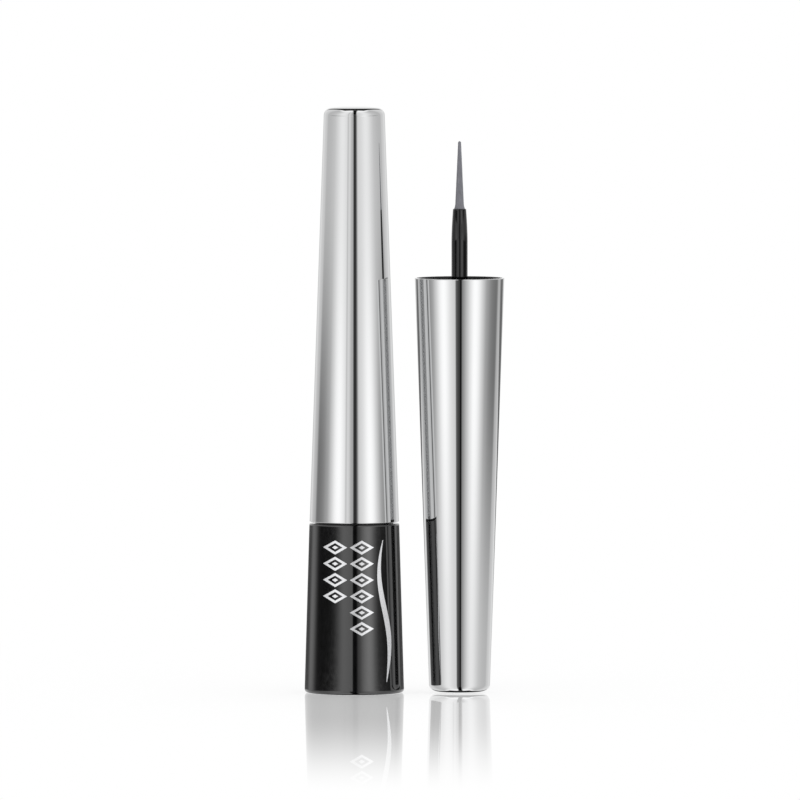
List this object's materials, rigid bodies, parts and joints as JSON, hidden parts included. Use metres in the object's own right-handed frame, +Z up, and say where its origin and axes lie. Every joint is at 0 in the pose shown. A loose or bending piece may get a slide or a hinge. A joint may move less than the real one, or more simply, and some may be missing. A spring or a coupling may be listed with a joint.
{
  "type": "liquid eyeliner pen",
  "caption": "Slim tapered liquid eyeliner: mirror-bright screw cap on a gloss black bottle, beside a matching cap that stands on its crown, applicator up.",
  "frame": {"origin": "centre of the closed pen's foot, on the surface that it stands on", "axes": "+Z up along the closed pen's axis, +X towards the cap that stands open, +Y away from the side with the print"},
  "size_m": [0.0381, 0.019, 0.112],
  "materials": {
    "gloss_black_shell": "high-gloss black moulded plastic, with a slim silver foil print on the front",
    "moulded_black": "satin",
    "natural_wiper": "translucent natural plastic, stained by the ink",
    "black_ink": "wet liquid surface",
    "ball_steel": "polished",
    "mirror_silver": "mirror-bright metallised coat on black moulded plastic, bare inside",
    "white_foam": "matte",
    "gloss_black_stem": "gloss",
    "grey_felt": "fine bonded fibre",
    "inked_felt": "felt soaked in black ink",
    "silver_foil": "satin silver foil print"
  },
  "bodies": {
    "bottle": {"bottle_sleeve": "gloss_black_shell", "bottle_vial": "moulded_black", "neck_wiper": "natural_wiper", "ink_fill": "black_ink", "mixing_ball": "ball_steel"},
    "seal": {"cap_seal": "white_foam"},
    "cap": {"cap_shell": "mirror_silver", "cap_liner": "moulded_black", "applicator_stem": "gloss_black_stem", "applicator_tip": "inked_felt"},
    "open_cap": {"open_cap_shell": "mirror_silver", "open_cap_liner": "moulded_black", "open_cap_seal": "white_foam", "open_applicator_stem": "gloss_black_stem", "open_applicator_tip": "grey_felt"}
  },
  "joints": [
    {"name": "cap_lift", "type": "slide", "parent": "bottle", "child": "seal", "axis": [0, 0, 1], "range_m": [0, 0.05]},
    {"name": "cap_turn", "type": "hinge", "parent": "seal", "child": "cap", "pos_m": [0, 0, 0.0327], "axis": [0, 0, 1], "range_deg": [0, 360]},
    {"name": "open_cap_lift", "type": "slide", "parent": "bottle", "child": "open_cap", "axis": [0, 0, 1], "range_m": [0, 0.04]}
  ]
}
